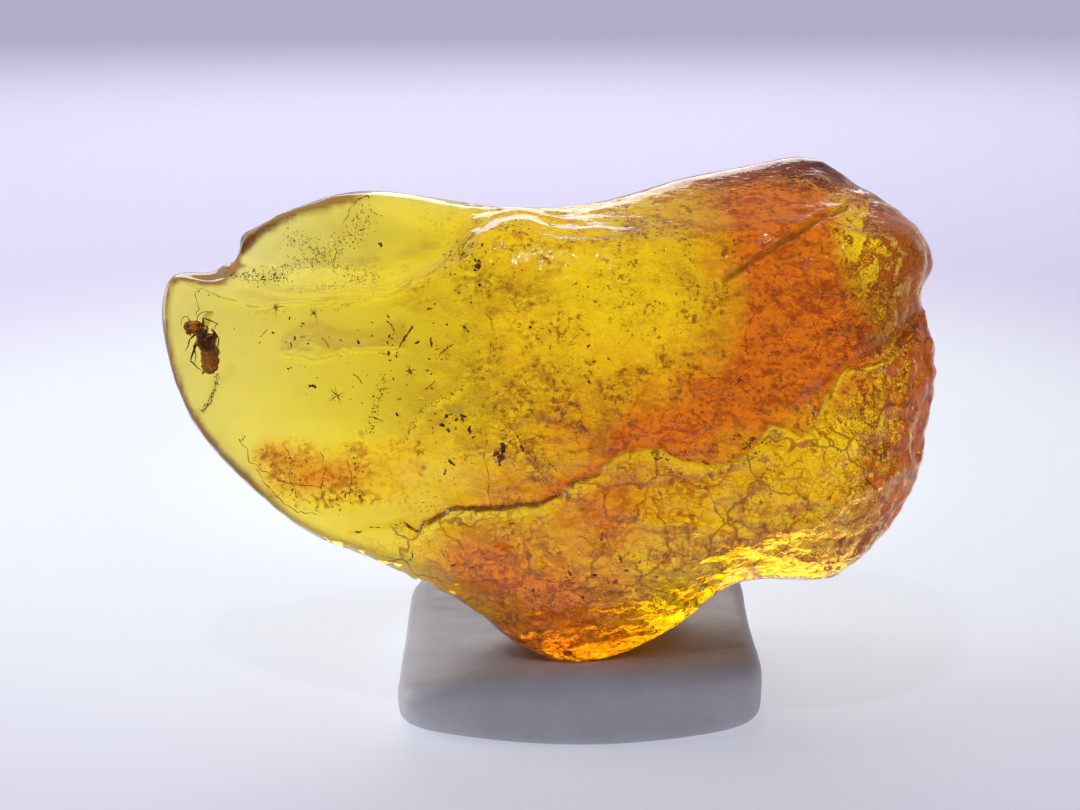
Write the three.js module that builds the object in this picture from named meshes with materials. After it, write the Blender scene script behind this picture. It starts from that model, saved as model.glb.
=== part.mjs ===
// A small fossil insect's nugget of amber, standing on a white display block.
// Millimetres, +Z up, +X right, the front faces -Y. The origin is on the ground under the whole thing.
//
// The nugget is one natural solid, so it is described as one implicit surface: an outline seen from the
// front, a front face and a back face, each a depth from the middle plane, and a rounded rim that joins
// them. A surface net turns that description into one closed mesh. The block is a box whose vertices are
// moved to its rounded, dished shape.
import * as THREE from 'three';
import { mergeVertices } from 'three/addons/utils/BufferGeometryUtils.js';

// ---- Driving dimensions ----

const LEAN = THREE.MathUtils.degToRad(15); // the nugget leans back on its block by this much
const NUGGET_FOOT = new THREE.Vector3(0, -2.3, 1.8); // where the lowest point of its outline stands
const NUGGET_CELL = 0.66; // size of the surface net's cells
const PLANE_SOFTNESS = 0.45; // how softly the flat planes of the nugget's faces meet

// Radius of the rim at the blade and on the body, where it changes, and its most share of a face's depth.
const RIM = { blade: 0.75, body: 3.3, from: -10, to: 3, share: 0.92 };

const BLOCK = {
  x: 1.3, // centre of the block, left to right
  width: 13.9,
  depth: 13.4,
  height: 3,
  corner: 1.5, // radius of its corners, seen from above
  edge: 0.7, // radius along its top edges
  foot: 0.5, // radius along its bottom edges
  bow: 2.2, // how far the front's ends stand back from its middle, at the ground
  bowFade: 0.8, // share of that bow which is gone at the top
  rise: 0.04, // slope of its top, up to the right
  dish: { depth: 1, x: 0.9, y: 0.6, across: 9.5, along: 4.8 }, // the hollow in its top, and its reach
  slump: { depth: 0.5, across: [4.2, 7], along: [1, 7] }, // how its left front corner has sunk
  steps: 16, // divisions along each side
  rows: 5, // divisions up each side
  rowCrowding: 1.6, // over 1 crowds them towards the ground, where the edge is rounded
};
const REST_GAP = 0.3; // clearance between the nugget and the hollow that it stands in

// The nugget's outline from the front, as landmarks joined by one smooth closed curve.
// x is across, and the second number is the height above the nugget's lowest point.
const OUTLINE = [
  // tip of the thin blade, then down its long rounded edge
  [-14.2, 15.25], [-14.8, 14], [-14.5, 11.7], [-13.6, 9.4], [-11.5, 7], [-9, 5.1], [-6.2, 4], [-3.3, 2.6],
  // keel that stands in the block
  [-1, 0.7], [0.9, 0], [3, 0.35], [5.2, 1.5],
  // hollow under the right shoulder, then the heavy right end
  [7.2, 3.1], [8.9, 3.3], [10.8, 3.3], [12.8, 4.8], [14.2, 7], [14.7, 9.6], [14.8, 12.1],
  // small nick, and the upper right corner
  [14.4, 14], [14.9, 15.6], [14.2, 17.2], [12.2, 18.6], [10.2, 19.8], [8.4, 19.5], [5.4, 18.9],
  // saddle and the upper lobe
  [2, 17.9], [-1.3, 17.6], [-4, 18], [-7, 18.35], [-9.4, 17.8], [-11.5, 16.7],
  // notch between the lobe and the blade
  [-12.2, 15.5], [-13.2, 15.1],
];
const OUTLINE_STEPS = 260;

// Ridge between the blade's face and the scooped fracture of the upper lobe.
const LOBE_RIDGE = [[-15, 15.1], [-12, 14.6], [-10, 14.1], [-6.2, 14.2], [-4, 15], [-1.8, 16.6], [0.5, 18]];

// The fracture above that ridge: it drops back by scoop and then leans back by slope, up to where it fades
// into the body. The bevel along the top of the body doesn't reach down to it.
const LOBE = { scoop: 1.15, slope: 0.12, fadeFrom: -3.5, fadeTo: 0.5, aboveBevel: 3.2 };

// How deep each face lies from the middle plane: thin at the blade on the left, thick in the body.
const WEDGE = {
  from: -15,
  front: { blade: 1.3, body: 4.3, to: 3 },
  back: { blade: 1.2, body: 4.6, to: 5 },
};

// Swellings and hollows on each face: the centre, the reach across and up, and the rise.
const FRONT_SWELLS = [
  { x: 3, u: 9, across: 7, up: 6, rise: 1.1 }, // belly
  { x: 10, u: 6, across: 4, up: 4, rise: 0.5 }, // right shoulder
  { x: 1, u: -0.5, across: 7, up: 3.5, rise: -0.9 }, // thins towards the keel
  { x: 4, u: 3.5, across: 3.5, up: 1.8, rise: 0.35 }, // fold above the keel
  { x: 8.6, u: 15.8, across: 3.4, up: 0.9, rise: -0.4 }, // groove in the upper right
];
const BACK_SWELLS = [
  { x: 9, u: 12, across: 5, up: 5, rise: 0.6 },
  { x: -3, u: 8, across: 4.5, up: 3, rise: -0.8 },
  { x: 3, u: 15, across: 3, up: 3, rise: -0.5 },
];

// Flat planes that cut the faces: the depth at one point, and the slopes across and up from there.
const FRONT_BEVEL = { x: 0, u: 14.2, depth: 6.3, slopeX: 0, slopeU: -0.95 };
const BACK_PLANES = [
  { x: -4, u: 10, depth: 4.1, slopeX: 0.24, slopeU: 0.08 },
  { x: 0, u: 14.5, depth: 5.2, slopeX: 0.06, slopeU: -0.5 },
  { x: 2, u: 4, depth: 5.4, slopeX: -0.1, slopeU: 0.42 },
  { x: 9.5, u: 10, depth: 5.3, slopeX: -0.55, slopeU: 0.05 },
];

// The middle plane waves a little: how far and over what length, across and up.
const WAVE = { across: 0.5, acrossLength: 5.5, up: 0.3, upLength: 4 };

// ---- Small helpers ----

const { smoothstep, lerp } = THREE.MathUtils;

const bump = (x, u, cx, cu, rx, ru) => Math.exp(-(((x - cx) / rx) ** 2) - ((u - cu) / ru) ** 2);

function smoothMin(a, b, soft) {
  const h = Math.max(soft - Math.abs(a - b), 0) / soft;
  return Math.min(a, b) - (h * h * soft) / 4;
}

function heightAlong(points, x) {
  const next = points.findIndex(([px]) => px > x);
  if (next === 0) return points[0][1];
  if (next < 0) return points[points.length - 1][1];
  const [x0, u0] = points[next - 1];
  const [x1, u1] = points[next];
  return lerp(u0, u1, (x - x0) / (x1 - x0));
}

// Joins two walls at a rounded edge: a and b are the signed distances to each, negative inside.
function roundedEdge(a, b, radius) {
  const outA = Math.max(a + radius, 0);
  const outB = Math.max(b + radius, 0);
  return Math.hypot(outA, outB) - radius + Math.min(Math.max(a, b) + radius, 0);
}

// ---- The nugget's outline as a signed distance ----

const outlineCurve = new THREE.CatmullRomCurve3(
  OUTLINE.map(([x, u]) => new THREE.Vector3(x, u, 0)),
  true,
  'centripetal',
);
const outlinePoints = outlineCurve.getSpacedPoints(OUTLINE_STEPS).slice(0, -1);

// Distance to the outline in its own plane: negative inside it, positive outside.
function outlineDistance(x, u) {
  let nearest = Infinity;
  let inside = false;
  for (let i = 0, j = outlinePoints.length - 1; i < outlinePoints.length; j = i, i += 1) {
    const a = outlinePoints[j];
    const b = outlinePoints[i];
    const ex = b.x - a.x;
    const eu = b.y - a.y;
    const along = THREE.MathUtils.clamp(((x - a.x) * ex + (u - a.y) * eu) / (ex * ex + eu * eu), 0, 1);
    nearest = Math.min(nearest, Math.hypot(x - a.x - ex * along, u - a.y - eu * along));
    if (a.y > u !== b.y > u && x < a.x + (ex * (u - a.y)) / eu) inside = !inside;
  }
  return inside ? -nearest : nearest;
}

// ---- The nugget's two faces ----

const swellingAt = (swells, x, u) => swells.reduce(
  (sum, swell) => sum + swell.rise * bump(x, u, swell.x, swell.u, swell.across, swell.up),
  0,
);

const planeAt = (plane, x, u) => plane.depth + plane.slopeX * (x - plane.x) + plane.slopeU * (u - plane.u);

// Depth of the front face ahead of the middle plane.
function frontDepth(x, u) {
  const wedge = lerp(WEDGE.front.blade, WEDGE.front.body, smoothstep(x, WEDGE.from, WEDGE.front.to));
  const aboveRidge = u - heightAlong(LOBE_RIDGE, x);
  const lobe = 1 - smoothstep(x, LOBE.fadeFrom, LOBE.fadeTo);
  const scoop = LOBE.scoop * smoothstep(aboveRidge, -0.1, 1) + LOBE.slope * Math.max(aboveRidge - 1, 0);
  const face = wedge + swellingAt(FRONT_SWELLS, x, u) - lobe * scoop;
  return smoothMin(face, planeAt(FRONT_BEVEL, x, u) + LOBE.aboveBevel * lobe, PLANE_SOFTNESS);
}

// Depth of the back face behind the middle plane: broad chipped planes over a low dome.
function backDepth(x, u) {
  const wedge = lerp(WEDGE.back.blade, WEDGE.back.body, smoothstep(x, WEDGE.from, WEDGE.back.to));
  return BACK_PLANES.reduce(
    (depth, plane) => smoothMin(depth, planeAt(plane, x, u), PLANE_SOFTNESS),
    wedge + swellingAt(BACK_SWELLS, x, u),
  );
}

// Radius of the rim: tight round the polished blade, full round the weathered body. It never takes the
// whole of a face's depth, so that the front and the back meet on the same outline.
function rimRadius(x, depth) {
  return Math.min(lerp(RIM.blade, RIM.body, smoothstep(x, RIM.from, RIM.to)), RIM.share * depth);
}

// In the nugget's own frame: x across, y back from the middle plane, z up the leaning outline.
function nuggetField(p) {
  const middle = WAVE.across * Math.sin(p.x / WAVE.acrossLength) + WAVE.up * Math.cos(p.z / WAVE.upLength);
  const behind = p.y - middle;
  const depth = behind < 0 ? frontDepth(p.x, p.z) : backDepth(p.x, p.z);
  return roundedEdge(outlineDistance(p.x, p.z), Math.abs(behind) - depth, rimRadius(p.x, depth));
}

// From the nugget's own frame to the part's frame, and back.
const nuggetPlace = new THREE.Matrix4()
  .makeRotationX(-LEAN)
  .setPosition(NUGGET_FOOT);
const nuggetFrame = nuggetPlace.clone().invert();

// ---- Surface net: one vertex in each cell that the surface crosses, one quad at each crossed edge ----

const SLOPE_STEP = 0.01; // spacing of the samples that give the field's slope
const SURFACE_STEPS = 8; // most steps that bring a point onto the surface
const RELAX_ROUNDS = 6; // rounds of evening out the vertices along the surface

function ontoSurface(field, point, longestStep) {
  const p = point.clone();
  for (let i = 0; i < SURFACE_STEPS; i += 1) {
    const value = field(p);
    const slope = new THREE.Vector3(
      field(p.clone().setX(p.x + SLOPE_STEP)) - value,
      field(p.clone().setY(p.y + SLOPE_STEP)) - value,
      field(p.clone().setZ(p.z + SLOPE_STEP)) - value,
    ).divideScalar(SLOPE_STEP);
    const step = slope.multiplyScalar(-value / Math.max(slope.lengthSq(), 0.5));
    p.add(step.clampLength(0, longestStep));
  }
  return p;
}

// Moves each vertex towards the middle of its neighbours, and back onto the surface.
function relax(field, vertices, quads, cell) {
  const neighbours = vertices.map(() => new Set());
  quads.forEach((quad) => quad.forEach((vertex, i) => {
    neighbours[vertex].add(quad[(i + 1) % 4]).add(quad[(i + 3) % 4]);
  }));
  let now = vertices;
  for (let round = 0; round < RELAX_ROUNDS; round += 1) {
    now = now.map((vertex, i) => {
      const middle = new THREE.Vector3();
      neighbours[i].forEach((n) => middle.add(now[n]));
      middle.divideScalar(neighbours[i].size);
      return ontoSurface(field, vertex.clone().lerp(middle, 0.6), cell / 4);
    });
  }
  return now;
}

function surfaceNet(field, low, high, cell) {
  const count = ['x', 'y', 'z'].map((axis) => Math.ceil((high[axis] - low[axis]) / cell) + 1);
  const index = (i, j, k) => i + count[0] * (j + count[1] * k);
  const corner = (i, j, k) => new THREE.Vector3(low.x + i * cell, low.y + j * cell, low.z + k * cell);
  const values = new Float64Array(count[0] * count[1] * count[2]);
  for (let k = 0; k < count[2]; k += 1) {
    for (let j = 0; j < count[1]; j += 1) {
      for (let i = 0; i < count[0]; i += 1) values[index(i, j, k)] = field(corner(i, j, k));
    }
  }

  const vertices = [];
  const vertexOf = new Map();
  const vertexIn = (cellAt) => {
    const key = index(...cellAt);
    if (vertexOf.has(key)) return vertexOf.get(key);
    const sum = new THREE.Vector3();
    let crossings = 0;
    for (let axis = 0; axis < 3; axis += 1) {
      for (let n = 0; n < 4; n += 1) {
        const start = [...cellAt];
        start[(axis + 1) % 3] += n & 1;
        start[(axis + 2) % 3] += n >> 1;
        const end = [...start];
        end[axis] += 1;
        const a = values[index(...start)];
        const b = values[index(...end)];
        if (a < 0 === b < 0) continue;
        sum.add(corner(...start).lerp(corner(...end), a / (a - b)));
        crossings += 1;
      }
    }
    vertexOf.set(key, vertices.length);
    vertices.push(sum.divideScalar(crossings));
    return vertexOf.get(key);
  };

  const quads = [];
  for (let axis = 0; axis < 3; axis += 1) {
    const across = (axis + 1) % 3;
    const over = (axis + 2) % 3;
    const start = [0, 0, 0];
    for (start[over] = 1; start[over] < count[over] - 1; start[over] += 1) {
      for (start[across] = 1; start[across] < count[across] - 1; start[across] += 1) {
        for (start[axis] = 0; start[axis] < count[axis] - 1; start[axis] += 1) {
          const end = [...start];
          end[axis] += 1;
          const leaving = values[index(...start)] < 0;
          if (leaving === values[index(...end)] < 0) continue;
          const quad = [[0, 0], [-1, 0], [-1, -1], [0, -1]].map(([da, db]) => {
            const cellAt = [...start];
            cellAt[across] += da;
            cellAt[over] += db;
            return vertexIn(cellAt);
          });
          quads.push(leaving ? quad : quad.reverse());
        }
      }
    }
  }
  const placed = relax(field, vertices, quads, cell);
  const geometry = new THREE.BufferGeometry().setFromPoints(placed);
  geometry.setIndex(quads.flatMap(([a, b, c, d]) => [a, b, c, a, c, d]));
  geometry.computeVertexNormals();
  return geometry;
}

// ---- The block ----

// Height of the dished top, which has a soft lip along the front and slumps at its left front corner.
function blockTop(x, y) {
  const { dish, slump } = BLOCK;
  const hollow = dish.depth * bump(x, y, dish.x, dish.y, dish.across, dish.along);
  const sunk = slump.depth * smoothstep(BLOCK.x - x, ...slump.across) * smoothstep(-y, ...slump.along);
  return BLOCK.height + BLOCK.rise * (x - BLOCK.x) - hollow - sunk;
}

// Height at which the clearance under the nugget starts, searched upwards from the ground.
function underNugget(x, y) {
  const p = new THREE.Vector3(x, y, 0);
  while (p.z < BLOCK.height + 1) {
    const clear = nuggetField(p.clone().applyMatrix4(nuggetFrame)) - REST_GAP;
    if (clear < 0.001) break;
    p.z += 0.7 * clear;
  }
  return p.z;
}

// How far a rounded edge of this radius draws in, at a distance from the flat that it rounds off.
function roundIn(radius, distance) {
  const left = Math.max(radius - distance, 0);
  return radius - Math.sqrt(radius * radius - left * left);
}

// Moves one vertex of a 2 x 2 x 2 box to its place on the block.
function placeOnBlock(v) {
  const half = new THREE.Vector2(BLOCK.width / 2, BLOCK.depth / 2);
  const plan = new THREE.Vector2(Math.sin((v.x * Math.PI) / 2), Math.sin((v.y * Math.PI) / 2)).multiply(half);
  const fromRim = Math.min(half.x - Math.abs(plan.x), half.y - Math.abs(plan.y));

  // Round the corners: what lies outside the inner rectangle keeps its distance from it.
  const inner = plan.clone();
  inner.x = THREE.MathUtils.clamp(plan.x, BLOCK.corner - half.x, half.x - BLOCK.corner);
  inner.y = THREE.MathUtils.clamp(plan.y, BLOCK.corner - half.y, half.y - BLOCK.corner);
  const outside = plan.clone().sub(inner);
  const reach = Math.max(Math.abs(outside.x), Math.abs(outside.y));
  plan.copy(inner).add(outside.setLength(reach));

  const across = plan.x / half.x;
  const level = (v.z + 1) / 2;
  plan.y += BLOCK.bow * across * across * smoothstep(-plan.y, 0, half.y) * (1 - BLOCK.bowFade * level);
  const x = BLOCK.x + plan.x;
  const y = plan.y;
  const top = Math.min(blockTop(x, y), underNugget(x, y));
  if (v.z > 0.999) {
    v.set(x, y, top - roundIn(BLOCK.edge, fromRim));
    return;
  }
  const z = level ** BLOCK.rowCrowding * (top - BLOCK.edge);
  const drawnIn = 1 - roundIn(BLOCK.foot, z) / half.x;
  v.set(BLOCK.x + plan.x * drawnIn, plan.y * drawnIn, z);
}

function blockGeometry() {
  const box = new THREE.BoxGeometry(2, 2, 2, BLOCK.steps, BLOCK.steps, BLOCK.rows);
  box.deleteAttribute('normal');
  box.deleteAttribute('uv');
  const geometry = mergeVertices(box);
  const position = geometry.getAttribute('position');
  const vertex = new THREE.Vector3();
  for (let i = 0; i < position.count; i += 1) {
    vertex.fromBufferAttribute(position, i);
    placeOnBlock(vertex);
    position.setXYZ(i, vertex.x, vertex.y, vertex.z);
  }
  geometry.computeVertexNormals();
  return geometry;
}

// ---- The pieces ----

function makeAmber() {
  const geometry = surfaceNet(
    nuggetField,
    new THREE.Vector3(-16.2, -8.2, -1.1),
    new THREE.Vector3(16.2, 8.2, 20.8),
    NUGGET_CELL,
  );
  const material = new THREE.MeshStandardMaterial({ color: 0xe0a010, roughness: 0.15, metalness: 0 });
  const mesh = new THREE.Mesh(geometry, material);
  mesh.name = 'amber';
  mesh.applyMatrix4(nuggetPlace);
  return mesh;
}

function makeStandBlock() {
  const material = new THREE.MeshStandardMaterial({ color: 0xeeecf2, roughness: 0.6, metalness: 0 });
  const mesh = new THREE.Mesh(blockGeometry(), material);
  mesh.name = 'stand_block';
  return mesh;
}

const insectInAmber = new THREE.Group();
insectInAmber.name = 'insect_in_amber';
insectInAmber.add(makeStandBlock(), makeAmber());

export default insectInAmber;
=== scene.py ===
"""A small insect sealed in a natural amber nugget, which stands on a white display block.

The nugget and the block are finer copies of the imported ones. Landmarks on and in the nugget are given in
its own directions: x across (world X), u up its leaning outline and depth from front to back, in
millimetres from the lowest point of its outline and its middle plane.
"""
import math
import random
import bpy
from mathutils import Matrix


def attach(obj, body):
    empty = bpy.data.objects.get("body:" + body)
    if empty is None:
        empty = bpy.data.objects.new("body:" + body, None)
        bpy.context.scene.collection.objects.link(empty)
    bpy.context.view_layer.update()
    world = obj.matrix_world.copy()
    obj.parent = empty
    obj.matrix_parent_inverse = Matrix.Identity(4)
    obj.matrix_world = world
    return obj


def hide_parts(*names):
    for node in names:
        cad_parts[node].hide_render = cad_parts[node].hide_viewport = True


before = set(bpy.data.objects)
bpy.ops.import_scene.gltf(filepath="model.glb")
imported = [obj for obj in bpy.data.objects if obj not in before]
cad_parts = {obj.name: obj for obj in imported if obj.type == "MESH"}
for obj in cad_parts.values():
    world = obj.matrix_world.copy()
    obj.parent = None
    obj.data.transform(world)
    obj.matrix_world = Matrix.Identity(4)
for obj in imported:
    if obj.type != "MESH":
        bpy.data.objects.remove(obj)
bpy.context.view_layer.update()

from types import SimpleNamespace

import bmesh
import bpy
import numpy as np
from mathutils import Vector, noise
from mathutils.bvhtree import BVHTree
from mathutils.kdtree import KDTree

MM = 0.001
BODY = "root"
LEAN = math.radians(15)  # the nugget leans back on its block, and the camera looks down, by this much
ACROSS = Vector((1, 0, 0))
UP = Vector((0, math.sin(LEAN), math.cos(LEAN)))
BACK = Vector((0, math.cos(LEAN), -math.sin(LEAN)))

CAMERA_DISTANCE = 93 * MM
CAMERA_SPAN = 42.07 * MM  # width that the camera sees at the nugget's middle plane
CAMERA_AIM = (-0.2, 10.03)  # x and u of the view's middle, in the nugget's own frame

# ---- The nugget's own frame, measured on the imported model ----


def mesh_arrays(mesh):
    """The places and the normals of a mesh's vertices, one row each."""
    points = np.empty(len(mesh.vertices) * 3)
    normals = np.empty(len(mesh.vertices) * 3)
    mesh.vertices.foreach_get("co", points)
    mesh.vertex_normals.foreach_get("vector", normals)
    return points.reshape(-1, 3), normals.reshape(-1, 3)


NUGGET, NUGGET_NORMALS = mesh_arrays(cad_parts["amber"].data)
LOWEST = float((NUGGET @ np.array(UP)).min())
DEPTHS = NUGGET @ np.array(BACK)
MIDDLE = float(DEPTHS.min() + DEPTHS.max()) / 2


def place(x, u, depth=0.0):
    """World place of a point given in the nugget's own frame, in millimetres."""
    return ACROSS * (x * MM) + UP * (LOWEST + u * MM) + BACK * (MIDDLE + depth * MM)


def own_frame(points):
    """The nugget's own x, u and depth of an array of world points, in millimetres."""
    x = points[:, 0] / MM
    u = (points @ np.array(UP) - LOWEST) / MM
    depth = (points @ np.array(BACK) - MIDDLE) / MM
    return x, u, depth


# ---- Small helpers ----


def smooth(value, low, high):
    t = np.clip((value - low) / (high - low), 0, 1)
    return t * t * (3 - 2 * t)


def bell(distance, reach):
    """1 at no distance, falling smoothly to next to nothing at twice the reach."""
    return np.exp(-((distance / reach) ** 2))


def blob(x, u, spot):
    """A soft round patch: spot is (x, u, reach across, reach up, strength)."""
    cx, cu, across, up, strength = spot
    return strength * bell(x - cx, across) * bell(u - cu, up)


def blobs(x, u, spots):
    return sum(blob(x, u, spot) for spot in spots)


def ripple(points, size, octaves=1, seed=0.0):
    """Smooth noise from -1 to 1 at each point, with bumps of that size in millimetres."""
    shift = Vector((seed * 7.1, seed * 3.7, seed * 5.3))
    scale = 1 / (size * MM)
    if octaves == 1:
        return np.array([noise.noise(Vector(p) * scale + shift) for p in points])
    return np.array([noise.fractal(Vector(p) * scale + shift, 0.6, 2.1, octaves) for p in points])


def line_height(points, x):
    """Height of a line through hand-picked (x, u) points."""
    xs, us = zip(*points)
    return np.interp(x, xs, us)


def distance_to_line(points, x, u):
    """Distance from each (x, u) to the nearest stretch of an open line."""
    best = np.full(len(x), np.inf)
    for (ax, au), (bx, bu) in zip(points, points[1:]):
        ex, eu = bx - ax, bu - au
        along = np.clip(((x - ax) * ex + (u - au) * eu) / (ex * ex + eu * eu), 0, 1)
        best = np.minimum(best, np.hypot(x - ax - ex * along, u - au - eu * along))
    return best


def show(name, data):
    """A new object in the scene."""
    thing = bpy.data.objects.new(name, data)
    bpy.context.scene.collection.objects.link(thing)
    return thing


def add_piece(name, mesh, material):
    piece = show(name, mesh)
    mesh.materials.clear()
    mesh.materials.append(material)
    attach(piece, BODY)
    return piece


def refined(name, node, levels):
    """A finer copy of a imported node's mesh: its triangles are joined to quads and subdivided."""
    work = bmesh.new()
    work.from_mesh(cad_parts[node].data)
    bmesh.ops.remove_doubles(work, verts=work.verts, dist=0.002 * MM)
    bmesh.ops.join_triangles(work, faces=work.faces, angle_face_threshold=1.3, angle_shape_threshold=1.6)
    coarse = bpy.data.meshes.new(name + "_coarse")
    work.to_mesh(coarse)
    work.free()
    holder = show(name + "_coarse", coarse)
    holder.modifiers.new("Finer", "SUBSURF").levels = levels
    shown = holder.evaluated_get(bpy.context.evaluated_depsgraph_get())
    fine = bpy.data.meshes.new_from_object(shown)
    fine.name = name
    bpy.data.objects.remove(holder)
    bpy.data.meshes.remove(coarse)
    return fine


def sharpen_near(mesh, chosen):
    """Splits the faces whose vertices are all chosen, so that a crease there can be sharp."""
    work = bmesh.new()
    work.from_mesh(mesh)
    work.verts.ensure_lookup_table()
    faces = [face for face in work.faces if all(chosen[vertex.index] for vertex in face.verts)]
    edges = list({edge for face in faces for edge in face.edges})
    bmesh.ops.subdivide_edges(work, edges=edges, cuts=1, use_grid_fill=True, smooth=0.0)
    work.to_mesh(mesh)
    work.free()


def store(mesh, **layers):
    """Keeps a value from 0 to 1 at each vertex under each name, for the material to read."""
    for name, values in layers.items():
        layer = mesh.attributes.new(name, "FLOAT", "POINT")
        layer.data.foreach_set("value", np.clip(values, 0, 1).astype(np.float32))


def move_out(mesh, points, normals, lift):
    """Moves each vertex along its normal by its lift in millimetres."""
    mesh.vertices.foreach_set("co", (points + normals * (lift * MM)[:, None]).ravel())
    mesh.update()


# ---- Where the nugget's zones and lines run: listed landmarks in its own frame ----

# Irregular edge of the weathered crust that laps over the lower part of the front.
CRUST_EDGE = [
    (-9.5, 4.4), (-8.4, 5.1), (-6.4, 5.4), (-4.7, 5.5), (-4.0, 5.9), (-2.8, 6.3), (-1.9, 6.3), (-0.6, 6.3),
    (0.2, 6.5), (0.9, 7.0), (2.0, 7.6), (2.8, 8.3), (4.2, 8.4), (5.0, 8.0), (6.6, 8.0), (7.6, 8.4),
    (8.3, 9.2), (9.2, 8.9), (9.9, 9.1), (10.4, 10.4), (11.1, 11.3), (12.6, 11.8), (13.8, 13.0), (14.5, 13.9),
]
# Fold in that crust, from the middle to the right end.
CRUST_FOLD = [(3.2, 6.1), (5.0, 5.5), (7.6, 5.2), (10.2, 5.9), (12.4, 7.4), (14.0, 7.9)]
# Groove in the upper right, and a shallower one below it.
GROOVE = [(6.6, 14.6), (7.7, 15.4), (9.1, 16.3), (10.0, 16.8), (11.4, 17.5)]
SIDE_GROOVE = [(9.4, 9.7), (10.8, 11.3), (12.6, 12.2), (13.9, 13.2)]
# Ridge between the blade's face and the fracture above it.
RIDGE = [
    (-14.1, 14.8), (-12.5, 14.2), (-11.6, 13.9), (-10.9, 13.7), (-9.9, 13.9), (-7.6, 14.0), (-6.0, 14.1),
    (-4.1, 14.9), (-2.9, 15.6),
]
# Lower lip and soft top of the shallow shell-shaped chip on the blade's face.
CHIP_LIP = [
    (-10.0, 12.0), (-9.4, 11.9), (-8.8, 11.75), (-8.3, 11.78), (-7.7, 12.0), (-6.6, 12.1), (-5.2, 12.05),
]
CHIP_TOP = [
    (-10.0, 12.2), (-9.8, 12.35), (-9.2, 12.7), (-8.6, 12.85), (-7.9, 12.5), (-6.8, 12.38), (-6.2, 12.55),
    (-5.3, 13.0),
]
# Soft step on the face where an older flow of resin ends.
FLOW_STEP = [(-5.6, 7.2), (-5.1, 8.7), (-4.5, 9.8), (-3.3, 10.4), (-1.9, 11.6), (-1.7, 12.9)]
# Corners that the blade's broken top keeps: (x, u, reach, how far out).
NOTCH_CORNERS = [
    (-11.75, 16.6, 0.45, 0.22), (-12.15, 15.9, 0.35, -0.16), (-12.35, 15.35, 0.30, 0.10),
    (-14.3, 15.1, 0.40, 0.10),
]

# Soft patches of tint, each (x, u, reach across, reach up, strength). Orange and red-brown zones:
WARM_SPOTS = [
    (9.0, 14.6, 3.0, 4.0, 1.0), (10.2, 12.2, 2.6, 3.0, 0.9), (6.4, 10.2, 3.4, 1.7, 0.9),
    (2.6, 8.9, 3.4, 1.0, 0.7), (-1.2, 7.2, 2.8, 0.8, 0.45), (8.6, 17.6, 3.4, 1.5, 0.75),
    (-10.2, 8.2, 0.9, 0.5, 0.7), (-9.2, 7.4, 1.5, 0.8, 0.8), (-7.2, 7.5, 1.6, 0.8, 0.6),
    (-5.0, 8.6, 1.6, 1.5, 0.3), (1.0, 1.0, 4.4, 1.8, 1.0),
    (-2.6, 4.4, 2.0, 1.5, 1.0), (2.2, 6.3, 2.2, 1.6, 0.8), (0.6, 3.2, 2.6, 1.5, 0.8),
]
# Clear patches inside those zones; several sit where light gathers into bright spots and are partly painted
# light:
BRIGHT_SPOTS = [
    (13.6, 15.2, 1.8, 1.8, 1.4), (14.2, 11.4, 1.4, 4.0, 0.8), (5.2, 3.4, 1.6, 1.2, 0.8),
    (11.2, 8.4, 3.0, 2.2, 0.7), (11.5, 16.4, 0.7, 0.8, 0.6), (2.4, 13.8, 2.8, 1.9, 1.0),
]
# Pool of darker, older resin low in the blade:
POOL_SPOTS = [
    (-10.0, 8.2, 1.0, 0.6, 0.9), (-9.1, 7.3, 1.7, 1.1, 1.0), (-7.0, 7.4, 1.9, 1.2, 1.0),
    (-5.2, 8.2, 1.4, 1.2, 0.6),
]
# Greyish places in the lobe and above the ridge: clouded resin, with painted grey reflection on the scooped
# fracture:
VEIL_AND_REFLECTION_SPOTS = [
    (-11.2, 15.0, 1.3, 0.5, 0.8), (-9.6, 15.3, 1.3, 0.8, 0.7), (-8.0, 15.9, 1.0, 1.2, 0.7),
    (-6.9, 16.4, 0.9, 0.8, 0.5),
]
# Thin wisp under the insect, where an older flow of resin ends.
WISP = [(-11.9, 11.4), (-12.3, 10.9), (-12.6, 10.9), (-12.75, 10.2), (-13.2, 9.7), (-13.0, 9.2)]

# ---- The nugget's fine surface ----


def crust_depth(points, x, u):
    """How far below the crust's irregular edge each point lies, in millimetres."""
    wander = 0.26 * ripple(points, 1.3, seed=1) + 0.16 * ripple(points, 0.42, seed=2)
    return line_height(CRUST_EDGE, x) + wander - u


def outline_distance(x, u):
    """Distance in millimetres from each (x, u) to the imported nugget's outline, seen from the front."""
    around = np.abs(NUGGET_NORMALS @ np.array(BACK)) < 0.25
    outline_x, outline_u, _ = own_frame(NUGGET[around])
    tree = KDTree(len(outline_x))
    for index, spot in enumerate(zip(outline_x, outline_u)):
        tree.insert((*spot, 0), index)
    tree.balance()
    return np.array([tree.find((*spot, 0))[2] for spot in zip(x, u)])


def crease_zones(mesh):
    """Marks the vertices close to a crease on the front."""
    points, normals = mesh_arrays(mesh)
    x, u, _ = own_frame(points)
    front = normals @ np.array(BACK) < 0.1
    near = np.abs(crust_depth(points, x, u)) < 0.34
    near |= (np.abs(u - line_height(RIDGE, x)) < 0.26) & (x < -2.6)
    near |= distance_to_line(GROOVE, x, u) < 0.40
    for line, reach in ((CHIP_LIP, 0.26), (CHIP_TOP, 0.20)):
        near |= (np.abs(u - line_height(line, x)) < reach) & (x > -10.4) & (x < -4.8)
    near &= front & (x > -14.2)
    near |= np.hypot(x + 12.0, u - 16.0) < 1.0
    return near


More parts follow.
